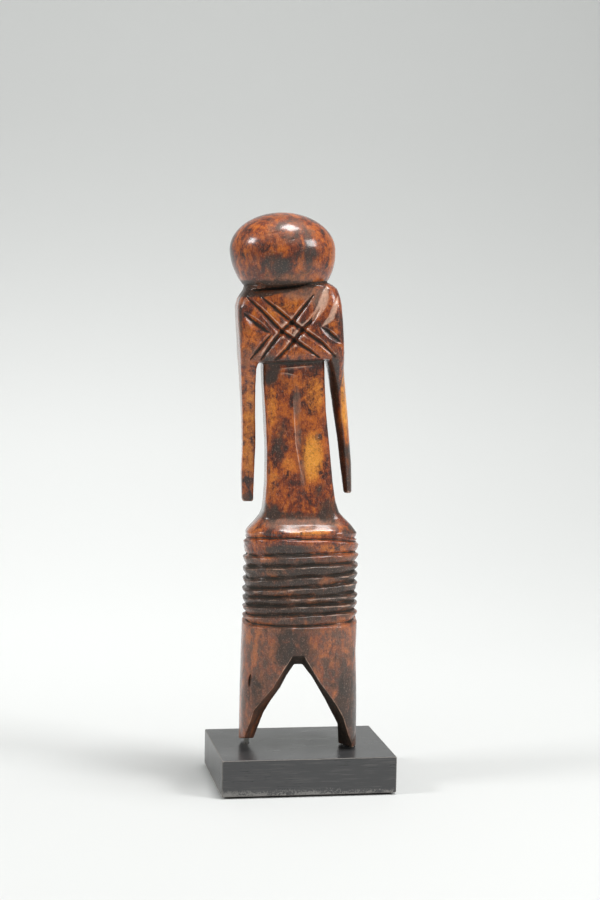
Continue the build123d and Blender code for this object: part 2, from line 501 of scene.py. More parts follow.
class Palette:
    """Builds one material's nodes."""

    def __init__(self, name: str) -> None:
        """Starts a material with only its shader and output."""
        self.material = bpy.data.materials.new(name)
        self.material.use_nodes = True
        self.tree = self.material.node_tree
        self.shader = self.tree.nodes["Principled BSDF"]
        place = self.node("ShaderNodeTexCoord", {}, {})
        self.place = place.outputs["Object"]

    def node(self, kind: str, settings: dict, sockets: dict) -> bpy.types.Node:
        """Adds a node.

        Args:
            kind: the node's type.
            settings: its own properties, set before its sockets.
            sockets: a value, a socket or a Signal for each input, by name or number.

        Returns:
            The new node.
        """
        node = self.tree.nodes.new(kind)
        for key, value in settings.items():
            setattr(node, key, value)
        for key, value in sockets.items():
            self.plug(node.inputs[key], value)
        return node

    def plug(self, target: bpy.types.NodeSocket, value: object) -> None:
        """Links or sets one input."""
        if isinstance(value, Signal):
            value = value.socket
        if isinstance(value, bpy.types.NodeSocket):
            self.tree.links.new(value, target)
        elif isinstance(value, tuple) and len(value) == 3 and target.type == "RGBA":
            target.default_value = (*value, 1)
        else:
            target.default_value = value

    def stretched(self, size: Triple, offset: float = 0.0) -> bpy.types.NodeSocket:
        """Returns object coordinates counted in features of this size, in millimetres."""
        scale = tuple(1 / (MM * one) for one in size)
        shift = (offset, offset * 0.7, offset * 0.4)
        sockets = {"Vector": self.place, "Location": shift, "Scale": scale}
        return self.node("ShaderNodeMapping", {}, sockets).outputs[0]

    def noise(
        self,
        size: Triple,
        detail: float = 4.0,
        distortion: float = 0.0,
        offset: float = 0.0,
        roughness: float = 0.55,
    ) -> Signal:
        """Adds a noise, from 0 to 1.

        Args:
            size: its features' size along each axis, in millimetres.
            detail: how many finer layers it has.
            distortion: how much it swirls.
            offset: picks another part of the noise.
            roughness: how strong its finer layers are.

        Returns:
            The noise.
        """
        sockets = {
            "Vector": self.stretched(size, offset),
            "Scale": 1.0,
            "Detail": detail,
            "Distortion": distortion,
            "Roughness": roughness,
        }
        return Signal(self, self.node("ShaderNodeTexNoise", {}, sockets).outputs["Fac"])

    def kept(self, name: str) -> Signal:
        """Returns a number that the piece keeps at each vertex."""
        node = self.node("ShaderNodeAttribute", {"attribute_name": name}, {})
        return Signal(self, node.outputs["Fac"])

    def along(self, axis: str) -> Signal:
        """Returns the coordinate along an axis, in millimetres."""
        node = self.node("ShaderNodeSeparateXYZ", {}, {0: self.place})
        return Signal(self, node.outputs[axis]) * (1 / MM)

    def nearness(self, low: Sequence[float], high: Sequence[float], reach: float) -> list[Signal]:
        """Returns how near each place is to a box's sides, for each axis.

        Args:
            low: the box's lowest corner.
            high: its highest corner.
            reach: how far in from a side it fades, in millimetres.

        Returns:
            For each axis, 1 at the box's sides and 0 farther in.
        """
        node = self.node("ShaderNodeSeparateXYZ", {}, {0: self.place})
        near = []
        for axis in range(3):
            middle, half = (low[axis] + high[axis]) / 2, (high[axis] - low[axis]) / 2
            away = (Signal(self, node.outputs[axis]) - middle).size()
            near.append(away.eased(half - reach * MM, half))
        return near

    def mixed(self, share: object, first: object, second: object) -> object:
        """Returns the first colour turned towards the second by a share."""
        sockets = {"Factor": share, 6: first, 7: second}
        return self.node("ShaderNodeMix", {"data_type": "RGBA"}, sockets).outputs[2]

    def bumped(self, height: Signal, distance: float, strength: float, under: object = None) -> object:
        """Adds a bump.

        Args:
            height: its height, from 0 to 1.
            distance: how high 1 is, in millimetres.
            strength: how much of it shows.
            under: another bump's normal that it adds to.

        Returns:
            The bumped normal.
        """
        sockets = {"Height": height, "Distance": distance * MM, "Strength": strength}
        if under is not None:
            sockets["Normal"] = under
        return self.node("ShaderNodeBump", {}, sockets).outputs[0]

    def dried(self, share: Signal, colour: object, normal: object) -> None:
        """Turns the shader matt by a share, where no varnish reaches."""
        matt = self.node("ShaderNodeBsdfDiffuse", {}, {"Color": colour, "Normal": normal})
        shaders = {0: share, 1: self.shader.outputs[0], 2: matt.outputs[0]}
        mix = self.node("ShaderNodeMixShader", {}, shaders)
        self.tree.links.new(mix.outputs[0], self.tree.nodes["Material Output"].inputs[0])

    def finish(self, **inputs: object) -> bpy.types.Material:
        """Sets the shader's inputs, with an underscore for each space, and returns the material."""
        for key, value in inputs.items():
            self.plug(self.shader.inputs[key.replace("_", " ").title().replace("Ior", "IOR")], value)
        return self.material


# ---- finishes


@dataclass(frozen=True)
class VarnishedWood:
    """Old red-brown wood under varnish, smoky dark in patches and rubbed on its edges, with painted
    shade in its cuts, painted shadow in its neck notch, under its chest and inside its fork, painted
    highlights on its edges and facets, and painted sheen on some faces.
    """

    deep: Colour = (0.034, 0.012, 0.008)
    red: Colour = (0.230, 0.036, 0.008)
    orange: Colour = (0.560, 0.140, 0.014)
    amber: Colour = (0.900, 0.380, 0.045)
    # Smoky dark patina patches, and painted shade: painted shadow in the neck notch, under the chest and
    # inside the fork.
    smoke_and_shade: Colour = (0.032, 0.026, 0.021)
    # Sooty blackening in the cuts and hollows, and painted shade there.
    soot_and_shade: Colour = (0.044, 0.041, 0.035)
    # Rubbed edges, and painted highlights on edges, facets and raised lines.
    worn_and_highlight: Colour = (0.820, 0.520, 0.380)
    # Dusty grey, and painted sheen on the collar, the head's top and under the chest's top edge.
    dust_and_sheen: Colour = (0.290, 0.180, 0.130)
    dust_and_sheen_share: float = 0.6
    smoke_and_shade_share: float = 0.92
    stain_share: float = 0.50
    speck_share: float = 0.42
    fleck_share: float = 0.16
    worn_and_highlight_share: float = 0.75
    soot_and_shade_share: float = 0.94
    varnish: float = 0.90

    def material(self) -> bpy.types.Material:
        """Returns the wood's material, which reads the doll's carving, its rubbing and its painted
        light.
        """
        p = Palette("varnished_wood")
        grain = p.noise((1.0, 1.0, 9.0), 5.0, 0.6)
        fibre = p.noise((0.25, 0.25, 3.0), 3.0, offset=7.0)
        blotch = p.noise((6.5, 6.5, 9.0), 4.0, 1.0, offset=3.0)
        mottle = p.noise((1.5, 1.5, 1.9), 5.0, 0.5, offset=11.0, roughness=0.75)
        cloud = p.noise((4.5, 4.5, 6.0), 5.0, 1.0, 21.0)
        tone = 0.50 + 1.5 * (blotch - 0.5) + 1.2 * (mottle - 0.5)
        tone = tone + 0.45 * (grain - 0.5) + 0.35 * (fibre - 0.5)
        colour = p.mixed(tone.eased(0.16, 0.60), self.deep, self.red)
        colour = p.mixed((tone + 0.32 * p.kept("amber")).eased(0.40, 0.90), colour, self.orange)
        amber = (p.kept("amber") + 1.0 * (mottle - 0.5) + 0.8 * (blotch - 0.5)).eased(0.50, 1.30)
        colour = p.mixed(amber, colour, self.amber)
        # Dusty grey and painted sheen.
        dust_and_sheen = (p.kept("dust_and_sheen") + 1.2 * (cloud - 0.5)).eased(0.1, 1.2)
        colour = p.mixed(self.dust_and_sheen_share * dust_and_sheen, colour, self.dust_and_sheen)
        stain = (cloud + 0.6 * (mottle - 0.5)).eased(0.54, 0.74)
        # Smoky dark patches, and painted shade in the neck notch, under the chest and inside the fork.
        smoke_and_shade = p.kept("smoke_and_shade") - 0.6 * p.kept("amber") + 1.7 * (cloud - 0.5)
        smoke_and_shade = (smoke_and_shade + 1.0 * (mottle - 0.5)).eased(0.20, 1.05)
        stain = stain * (1 - p.kept("amber").eased(0.2, 0.8))
        smoked_and_shaded = (self.smoke_and_shade_share * smoke_and_shade).top(self.stain_share * stain)
        colour = p.mixed(smoked_and_shaded, colour, self.smoke_and_shade)
        speck = p.noise((0.45, 0.45, 0.6), 2.0, offset=5.0)
        colour = p.mixed(self.speck_share * speck.eased(0.54, 0.70), colour, self.smoke_and_shade)
        colour = p.mixed(self.fleck_share * (1 - speck).eased(0.55, 0.72), colour, self.worn_and_highlight)
        # Edges lightened by rubbing and by painted highlights.
        edge = (p.kept("edge") * (0.4 + 1.0 * mottle)).eased(0.30, 1.12)
        colour = p.mixed(self.worn_and_highlight_share * edge, colour, self.worn_and_highlight)
        # Cuts darkened by sooty blackening and by painted shade.
        hollow = (p.kept("hollow") * (0.8 + 0.5 * mottle)).eased(0.08, 0.70)
        colour = p.mixed(self.soot_and_shade_share * hollow, colour, self.soot_and_shade)
        rough = 0.36 + 0.22 * mottle + 0.20 * dust_and_sheen + 0.30 * hollow
        normal = p.bumped(0.6 * fibre + 0.4 * grain, 0.10, 0.4)
        normal = p.bumped(mottle, 0.30, 0.35, normal)
        coat = self.varnish - 0.45 * dust_and_sheen - 0.70 * hollow
        p.dried(p.kept("dry"), colour, normal)
        return p.finish(
            base_color=colour,
            roughness=rough,
            normal=normal,
            coat_weight=coat,
            coat_roughness=0.17,
            coat_ior=1.5,
            specular_ior_level=0.25,
        )


@dataclass(frozen=True)
class BlackPaint:
    """Semi-gloss black paint on a block, dusty low down and rubbed on its edges."""

    low: Triple
    high: Triple
    paint: Colour = (0.042, 0.042, 0.044)
    dust: Colour = (0.22, 0.21, 0.20)
    rubbed: Colour = (0.22, 0.20, 0.18)
    dusty: Pair = (1.4, 5.4)
    edge: float = 0.9

    def material(self) -> bpy.types.Material:
        """Returns the paint's material."""
        p = Palette("black_paint")
        cloud = p.noise((12.0, 12.0, 12.0), 4.0)
        speck = p.noise((0.45, 0.45, 0.45), 3.0, offset=4.0)
        brush = p.noise((9.0, 0.5, 0.5), 4.0, 0.3, offset=15.0)
        low = 1 - p.along("Z").eased(*self.dusty)
        drift = p.noise((9.0, 9.0, 2.4), 3.0, offset=31.0)
        dust = (speck - 0.28 + low * (0.9 * drift - 0.09 - 0.004 * p.along("X"))).eased(0.46, 0.62)
        colour = p.mixed(dust * (0.15 + 0.85 * low), self.paint, self.dust)
        colour = p.mixed(0.25 * brush.eased(0.5, 0.75), colour, self.dust)
        x, y, z = p.nearness(self.low, self.high, self.edge)
        edge = ((x * y + y * z + z * x) * (0.35 + speck)).eased(0.40, 0.8)
        colour = p.mixed(edge * 0.8, colour, self.rubbed)
        rough = 0.17 + 0.12 * cloud + 0.14 * brush + 0.25 * dust + 0.15 * edge
        normal = p.bumped(0.5 * brush + 0.5 * p.noise((1.6, 1.6, 1.6), 3.0, offset=9.0), 0.06, 0.5)
        return p.finish(base_color=colour, roughness=rough, normal=normal, ior=1.62)


@dataclass(frozen=True)
class PinSteel:
    """Bright drawn steel with fine marks along the pin."""

    bright: Colour = (0.60, 0.58, 0.55)
    tarnish: Colour = (0.26, 0.22, 0.18)

    def material(self) -> bpy.types.Material:
        """Returns the steel's material."""
        p = Palette("pin_steel")
        drawn = p.noise((0.10, 0.10, 4.0), 3.0)
        spots = p.noise((0.9, 0.9, 0.9), 3.0, offset=2.0)
        colour = p.mixed(spots.eased(0.5, 0.75) * 0.6, self.bright, self.tarnish)
        normal = p.bumped(drawn, 0.02, 0.4)
        return p.finish(base_color=colour, metallic=1.0, roughness=0.22 + 0.2 * spots, normal=normal)


@dataclass(frozen=True)
class BlackFelt:
    """Matted black felt with lint in it."""

    wool: Colour = (0.012, 0.012, 0.013)
    lint: Colour = (0.10, 0.10, 0.105)

    def material(self) -> bpy.types.Material:
        """Returns the felt's material."""
        p = Palette("felt")
        matted = p.noise((0.5, 0.5, 0.3), 5.0, 1.5)
        strand = p.noise((0.12, 1.2, 0.12), 3.0, 2.0, offset=6.0)
        colour = p.mixed((0.5 * matted + 0.5 * strand).eased(0.45, 0.75) * 0.5, self.wool, self.lint)
        normal = p.bumped(matted * 0.6 + strand * 0.4, 0.25, 0.7)
        return p.finish(base_color=colour, roughness=0.95, normal=normal, sheen_weight=0.35)


@dataclass(frozen=True)
class Paper:
    """Seamless pale studio paper, with painted light making it paler where it turns up behind the doll.

    Each range is in millimetres: where the painted light starts and ends going back, and where it dims
    going right.
    """

    tint: Colour = (0.70, 0.71, 0.70)
    pale: Colour = (0.93, 0.94, 0.93)
    grows: Pair = (-40, 380)
    fades: Pair = (600, 950)
    dims: Pair = (-120, 380)

    def material(self) -> bpy.types.Material:
        """Returns the paper's material."""
        p = Palette("paper")
        tooth = p.noise((900.0, 900.0, 900.0), 2.0)
        far, across = p.along("Y"), p.along("X")
        # Painted light: paler going back behind the doll, and dimmer to the right.
        painted_glow = far.eased(*self.grows) * (1 - far.eased(*self.fades))
        painted_glow = painted_glow * (1 - 0.45 * across.eased(*self.dims))
        colour = p.mixed(painted_glow - 0.04 * tooth, self.tint, self.pale)
        return p.finish(base_color=colour, roughness=0.85)


# ---- the doll


@dataclass(frozen=True)
class Standing:
    """Where the doll stands: its axes in the frame."""

    origin: Vector
    turn: float

    @classmethod
    def on_pins(cls, left: str, right: str, plinth: str, lean: float) -> Standing:
        """Finds the doll's axes from its two pins.

        Args:
            left: the left pin's node.
            right: the right pin's node.
            plinth: the plinth's node, whose top the doll's heights start from.
            lean: how far back the left pin stands for each unit across, in the doll's axes.

        Returns:
            The doll's place and turn.
        """
        middles = [sum(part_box(node), Vector()) / 2 for node in (left, right)]
        across = middles[1] - middles[0]
        centre = (middles[0] + middles[1]) / 2
        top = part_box(plinth)[1].z
        return cls(Vector((centre.x, centre.y, top)), atan2(across.y, across.x) + atan2(lean, 1))

    def matrix(self) -> Matrix:
        """Returns the move from the doll's millimetres to the frame's metres."""
        return Matrix.Translation(self.origin) @ Matrix.Rotation(self.turn, 4, "Z") @ Matrix.Scale(MM, 4)


@dataclass(frozen=True)
class Ring:
    """A groove round the skirt: its lower edge's height at the sides and its waves."""

    height: float
    rise: float
    bow: float


@dataclass(frozen=True)
class Patch:
    """A patch of colour on the doll, given by its middle and its reach.

    It fades from the core to its reach, and round the doll's side unless it is on both faces.
    """

    across: float
    up: float
    wide: float
    tall: float
    strength: float = 1.0
    faces: tuple[Face, ...] = (Face.FRONT,)
    core: float = 0.35
    side: Pair = (-0.5, 0.2)

    def mask(self, surface: Surface) -> np.ndarray:
        """Returns the patch's strength at each point."""
        spot = np.array((self.across, self.up))
        away = (surface.points[:, (0, 2)] - spot) / (self.wide, self.tall)
        fade = 1 - ramp(np.hypot(*away.T), self.core, 1.0)
        if len(self.faces) == 1:
            fade *= ramp(surface.normals[:, 1] * self.faces[0].value, *self.side)
        return self.strength * fade


def rows_of(kind: type, *rows: tuple) -> tuple:
    """Returns one of this kind for each row of its values."""
    return tuple(kind(*row) for row in rows)


@dataclass
class Doll:
    """The carved figure, from its feet to the top of its head.

    Pairs named after a place are the two heights that something eases between there.
    """

    voxel: float = 0.30
    quick_voxel: float = 1.5
    triangles: int = 188_000
    around: int = 96
    hole_radius: float = 1.15
    hole_ends: Pair = (-10, 12.2)
    turning_line: float = -0.8
    pins: Line = ((-21.8, 3.4), (21.8, -3.4))
    beyond: float = 24.0
    foot_ends: Pair = (2.9, 0.6)
    foot_slant: float = 0.24
    foot_reach: float = 10.0
    under_foot: float = -9.0
    leg_flares: tuple[tuple[float, float, float, float], ...] = (
        (-0.5, 0.7, 0.6, 0.6),
        (18.0, 0.6, 0.5, 0.2),
        (40.0, 0.3, -0.2, 0.0),
    )
    bead: Line = ((-1.0, 0.25), (-0.25, 0.0), (0.1, 0.3), (0.6, 1.35), (1.2, 1.45), (1.9, 0.8))
    ring_wobble: float = 0.4
    ring_wear: float = 0.22
    ring_grain: Triple = (4.5, 4.5, 1.1)
    unevenness: tuple[tuple[float, Triple, float], ...] = (
        (0.14, (7.0, 7.0, 16.0), 3.7),
        (0.05, (2.4, 2.4, 4.0), 8.1),
    )
    softening: float = 0.35
    near_reach: float = 1.4
    wide_reach: float = 2.6
    edge_heights: Pair = (0.07, 0.30)
    near_depths: Pair = (0.05, 0.24)
    wide_depths: Pair = (0.3, 1.1)
    fork_depth: float = 18
    skirt_foot: Pair = (52, 55)
    skirt_top: Pair = (86, 88)
    dust_and_sheen_top: Pair = (78, 88)
    fork_top: Pair = (40, 47)
    neck_top: Pair = (191.8, 193.2)
    head_start: Pair = (188, 194)
    notch_corner: Pair = (-18.8, 185.7)
    notch_climb: float = 0.22
    bands_middle: float = -3.2
    skirt_root: Section = Section(50.0, -20, 19, 14)
    skirt_edges: Pair = (-24.4, 23.0)
    skirt_half_depth: float = 17.6
    skirt_squareness: float = 2.7
    rings: tuple[Ring, ...] = rows_of(
        Ring,
        (53.2, 0.5, -1.1), (56.1, 1, 0.7), (59.8, 1, 0.9),
        (63.5, 0.9, 0.7), (67.8, 1.6, 0.3), (71.8, 1.4, 0.4),
        (75.8, 1, 1.1), (80.1, 0.8, 1.2), (85.4, -0.6, 2.4),
    )
    trunk: tuple[Section, ...] = rows_of(
        Section,
        (86.9, -22.4, 20.9, 15.4, 2.8, 0, 1),
        (88.2, -23.3, 21.8, 16.1, 2.9, 0, 1.5),
        (89.6, -23.6, 22, 16.8, 3, 0, 1.2, 0.3),
        (91, -22.6, 21.2, 15.9, 3.2, 0, 0.9, 0.3),
        (93.4, -20.4, 19.2, 13.5, 3.6, 0, 0.5),
        (96.2, -18, 16.4, 11.7, 4.4),
        (98.5, -16.9, 14.4, 11.2, 5.5),
        (103, -16.3, 12.8, 10.9, 7),
        (111, -15.8, 11.4, 10.8, 8),
        (124, -15.8, 10, 10.6, 8),
        (140, -16.9, 8.1, 10.4, 8),
        (151, -17.7, 7.4, 10.4, 8),
        (164, -18.2, 7, 10.6, 8),
    )
    chest: tuple[Section, ...] = rows_of(
        Section,
        (160.2, -26.4, 14.4, 11, 4, 1.2),
        (160.9, -27.2, 15, 12.9, 5, 1.2),
        (163, -27.5, 15.1, 13.9, 8, 0.8),
        (170, -28.1, 14.6, 14.5, 9),
        (177, -28.7, 14.1, 14.5, 9),
        (182.5, -28.9, 13.6, 14.2, 8, 0.6),
        (186.2, -28.2, 12.9, 13.8, 5.5, 1),
        (188.4, -27, 11.9, 13.2, 5, 1.4),
        (190, -26, 10, 12.8, 4, 1.4),
        (191.6, -25.6, 7.8, 12.4, 3, 0.9),
    )
    neck_notch: tuple[Wedge, ...] = rows_of(
        Wedge,
        (-34, 186, 189.3, -10.5),
        (-20, 184.9, 191.2, -9.5),
        (-5.5, 188, 192.2, -10),
        (4, 191.2, 193.2, -12),
        (10, 193, 193.6, -14.5),
    )
    left_arm: tuple[Section, ...] = rows_of(
        Section,
        (102.3, -24.9, -21.2, 2.4, 8),
        (102.8, -25.4, -20.8, 3, 9),
        (114, -25.8, -20.5, 3.8, 9),
        (126, -25.6, -20.3, 4.4, 9),
        (140, -26.1, -20.6, 5.3, 9),
        (150, -26.7, -20.8, 7, 9),
        (157, -27.2, -20.6, 9.9, 9),
        (161, -27.5, -19.6, 12.8, 9),
        (166, -27.8, -18, 13.6, 9),
    )
    right_arm: tuple[Section, ...] = rows_of(
        Section,
        (105.9, 17.1, 19.6, 1.8, 2),
        (106.4, 16.7, 20, 2.5, 1.6),
        (118, 15, 19.6, 3.5, 1.4),
        (127, 13.8, 18.8, 4.2, 1.4),
        (139, 11.8, 17.7, 5.2, 1.5),
        (150, 10.1, 16.5, 7, 1.7),
        (157, 9, 15.7, 9.8, 2.4),
        (161.5, 8, 15.2, 12.6, 4),
        (166, 6, 15, 13.6, 5),
    )
    head_middle: Triple = (-10.2, 0.0, 205.0)
    head_half_sizes: Triple = (21.6, 19.2, 15.4)
    head_lower_reach: float = 22.2
    head_lean: float = 0.05
    head_underside: float = 191.2
    head_tilt: float = 5.3
    fork_front: Line = (
        (24.2, -2.0), (21.3, 4.3), (17.4, 14.4), (13.9, 20.0),
        (6.4, 30.0), (-0.2, 40.8), (-4.6, 40.8), (-8.6, 34.4),
        (-12.5, 27.4), (-17.9, 21.5), (-21.4, 18.2), (-33.0, -2.0),
    )
    fork_ridge: Line = (
        (16.9, -2.0), (16.0, 8.9), (13.3, 14.0), (10.7, 19.1),
        (4.6, 29.2), (0.9, 34.0), (-2.6, 34.0), (-5.8, 29.2),
        (-8.3, 24.1), (-11.9, 19.1), (-14.8, 14.0), (-20.9, -2.0),
    )
    fork_face: float = 16.5
    bands: tuple[Stroke, ...] = (
        Stroke(
            ((-19.5, 186.2), (-13.2, 181.3), (-7.6, 176.7), (-2.5, 173.2), (5.1, 168.3), (11.2, 162.4)),
            slant=-0.3,
        ),
        Stroke(
            ((-25.4, 186.2), (-18.8, 180.3), (-11.3, 172.8), (-5.3, 168.7), (0.1, 165.3), (4.8, 162)),
            slant=-0.3,
        ),
        Stroke(((-27.2, 180.2), (-21.9, 175.9), (-15.0, 171.2)), 4.4, 1.8, 0.8, slant=-0.3),
        Stroke(((4.4, 174.9), (8.3, 172.2), (13.4, 168.0)), 3.0, 1.4, 0.7, slant=-0.3),
        Stroke(
            ((1.6, 187.6), (-2.6, 182.3), (-7.0, 176.4), (-11.0, 172.8), (-15.4, 167.1), (-19.6, 160.8)),
            slant=0.3,
        ),
        Stroke(
            ((3.8, 182.0), (0.2, 176.5), (-2.8, 173.5), (-5.7, 169.6), (-9.1, 165.4), (-14.2, 160.4)),
            slant=0.3,
        ),
        # These two broad shallow strokes lighten the chest's right facets as painted highlight.
        Stroke(((7.2, 191.5), (5.8, 188.0), (4.2, 183.4), (0.8, 176.6)), 5.4, 0.45, 0.5, True, 2.4, 0.4),
        Stroke(((11.8, 187.6), (10.3, 182.6), (8.8, 178.2), (4.6, 174.2)), 3.8, 0.45, 0.6, True, 2.4),
        Stroke(((-15.0, 171.8), (-18.9, 167.1), (-24.0, 160.6)), 2.6, 1.3, 0.5, slant=0.3),
    )
    marks: tuple[Stroke, ...] = (
        Stroke(((-4.8, 151.5), (-3.6, 138.0), (-2.2, 125.0), (0.4, 107.0)), 5.4, 0.65, 0.5, True),
        # A raised line along the flute, lightened as painted highlight.
        Stroke(
            ((-6.0, 150.5), (-5.2, 138.4), (-4.4, 127.0), (-2.6, 117.5), (-0.2, 108.0)),
            width=1.1,
            depth=-0.4,
            rounded=True,
            wear_and_highlight=1.0,
        ),
        Stroke(((4.8, 130.6), (4.8, 128.6)), 3.8, 0.35, 0.4, True),
        Stroke(((4.8, 130.0), (4.8, 129.2)), 1.7, -0.45, 0.3, True, 0.8),
        # Raised lines along the trunk's top edges, lightened as painted highlights.
        Stroke(((-11.8, 157.3), (-5.0, 157.9), (2.8, 158.7)), 1.2, -0.45, 0.3, True, 1.0),
        Stroke(((-11.8, 155.8), (-8.2, 155.4), (-4.1, 154.5)), 1.1, -0.4, 0.4, True, 1.0),
        Stroke(((-21.3, 32.4), (-21.8, 26.6)), 1.5, 1.5, 0.5),
        Stroke(((-19.2, 210.9), (-16.5, 211.4), (-12.9, 212.3)), 0.8, 0.3, 0.5),
        Stroke(((-10.6, 208.2), (-8.4, 209.2), (-5.8, 209.6)), 0.8, 0.3, 0.5),
        Stroke(((-17.4, 205.0), (-12.9, 204.7)), 0.9, -0.2, 0.5, True, 0.6),
    )
    # Smoky dark patches; the one at (-5, 160) is painted shadow under the chest.
    smoked_and_shaded: tuple[Patch, ...] = rows_of(
        Patch,
        (-15.5, 156.5, 7, 10, 1), (-15, 98.5, 7, 6, 1), (10, 99.5, 8, 8, 1), (-4, 97.5, 14, 2.6, 0.8),
        (5, 108, 3, 5, 0.8), (-11.5, 132, 6, 11, 0.6), (-10.5, 120, 6, 10, 0.55),
        (4.8, 129.6, 2.3, 2.3, 1.9), (18, 116, 5, 17, 1.5, BOTH), (10.8, 146, 3.6, 26, 1.6),
        (14.4, 126, 2.6, 16, 1.4), (-27.8, 172, 1.6, 16, 0.7), (-5, 160, 18, 2, 1),
        (-10, 203, 34, 16, 0.28, BOTH), (-10, 195, 34, 6, 0.3, BOTH), (-14.5, 200.5, 7, 5, 0.4),
        (-12, 199, 4, 4, 0.6), (-2, 203, 7, 6, 0.5), (-1, 171.8, 3, 3, 0.4),
        (-23.3, 101.8, 5, 5.4, 2.6, BOTH), (-1, 69, 62, 20, 1, BOTH), (-7, 84, 15, 4, 0.9),
        (18.5, 91.5, 6, 3, 0.9), (-4, 44, 11, 13, 0.6), (-1, 26, 70, 44, 0.42, BOTH),
        (19, 14, 9, 20, 0.9), (-20, 26, 5, 12, 0.3), (16, 34, 9, 14, 0.3),
    )
    # Orange-amber patches; the one at (3, 147) also lightens the trunk's upper right as painted
    # highlight.
    ambered: tuple[Patch, ...] = rows_of(
        Patch,
        (2.6, 121.5, 7, 17, 0.95), (1.6, 121.5, 2.8, 6, 0.6), (-7, 118, 4.5, 7, 0.6),
        (3, 147, 7, 14, 0.72), (-6.5, 151, 7, 6, 0.5), (-14.5, 142, 3.6, 14, 0.7),
        (-13.5, 112, 3, 12, 0.6), (1, 91.4, 15, 2.4, 0.8), (-20, 91.5, 5, 4, 0.6),
        (10, 85, 9, 2.6, 0.6), (-23, 132, 5, 42, 0.7, BOTH), (15.5, 147, 2.6, 22, 0.9),
        (17.6, 136, 2, 18, 0.7), (-14, 181, 6, 6, 0.6), (-6.5, 183, 6, 5, 0.6), (-24, 169, 5, 9, 0.45),
        (10, 175, 5, 5, 0.5), (-8, 165, 5, 4, 0.5), (-27, 208, 6, 12, 0.2), (9, 208, 5, 10, 0.3),
        (-17, 206, 6, 3, 0.3), (-5, 199.5, 5, 3.5, 0.3), (-20, 46, 6, 14, 0.4), (14, 44, 8, 14, 0.3),
        (-13, 74.5, 7, 3, 0.6), (-12, 66.5, 10, 2, 0.55), (10, 71.5, 8, 2.4, 0.5),
        (4, 63.5, 8, 1.6, 0.5), (-17, 80, 6, 2, 0.5),
    )
    # Dusty grey patches; those at (-1, 94.4), (-9, 212) and (-4, 187.4) are painted sheen on the collar,
    # the head's top and under the chest's top edge.
    dust_and_sheen_patches: tuple[Patch, ...] = rows_of(
        Patch,
        (-1, 94.4, 22, 3.8, 1.6, BOTH), (-9, 212, 16, 9, 0.6), (-9, 192.5, 18, 5, 0.8),
        (-4, 187.4, 12, 4, 1), (4, 186, 7, 7, 0.8), (-20, 163, 9, 5, 0.7), (-4, 143, 2.2, 9, 0.9),
        (-3.2, 130, 2, 9, 0.8), (-1.4, 115, 2, 9, 0.7),
    )

    def skirt(self) -> list[Section]:
        """Returns the skirt's outlines: under each ring the wood slopes out to a sharp ledge."""
        left, right = self.skirt_edges
        half, square = self.skirt_half_depth, self.skirt_squareness
        sections = []
        for ring in self.rings:
            for up, cut in self.bead:
                edges = left + cut, right - cut, half - cut
                waves = ring.rise, ring.bow, self.ring_wobble
                sections.append(Section(ring.height + up, *edges, square, *waves))
        return sections

    def legs(self) -> list[Section]:
        """Returns the outlines of the legs before they are forked."""
        rim = self.rings[0]
        half, square = self.skirt_half_depth, self.skirt_squareness
        left, right = self.skirt_edges
        sections = [
            Section(up, left - more_left, right + more_right, half - less, square)
            for up, more_left, more_right, less in self.leg_flares
        ]
        return [*sections, Section(rim.height - 0.1, left, right, half, square, rim.rise, rim.bow)]

    def head(self) -> Piece:
        """Returns the egg-shaped head, its lower half drawn in and its underside cut flat."""
        Bench.clear()
        bpy.ops.mesh.primitive_uv_sphere_add(segments=96, ring_count=48, radius=1)
        head = Bench.named("head")
        x, y, z = self.head_middle
        wide, deep, tall = self.head_half_sizes
        for vertex in head.data.vertices:
            low = vertex.co.z < 0
            reach = self.head_lower_reach if low else tall
            up = vertex.co.z * reach
            lean = -up * self.head_lean if low else 0.0
            vertex.co = (x + vertex.co.x * wide + lean, y + vertex.co.y * deep, z + up)
        Bench.edit(head)
        tilt = radians(self.head_tilt)
        bpy.ops.mesh.bisect(
            plane_co=(x, y, self.head_underside),
            plane_no=(-sin(tilt), 0, cos(tilt)),
            use_fill=True,
            clear_inner=True,
        )
        Bench.outward(head)
        return head

    def foot_cutter(self, x: float, end: float) -> Piece:
        """Returns what is cut off under a foot, whose end is slanted up towards the front."""
        left, right, low = x - self.foot_reach, x + self.foot_reach, self.under_foot
        slices = []
        for depth in (-self.beyond, self.beyond):
            top = end - depth * self.foot_slant * end / self.foot_ends[0]
            slices.append(Slice(depth, ((left, low), (right, low), (right, top), (left, top))))
        return Bench.loft("foot_end", slices, 4)

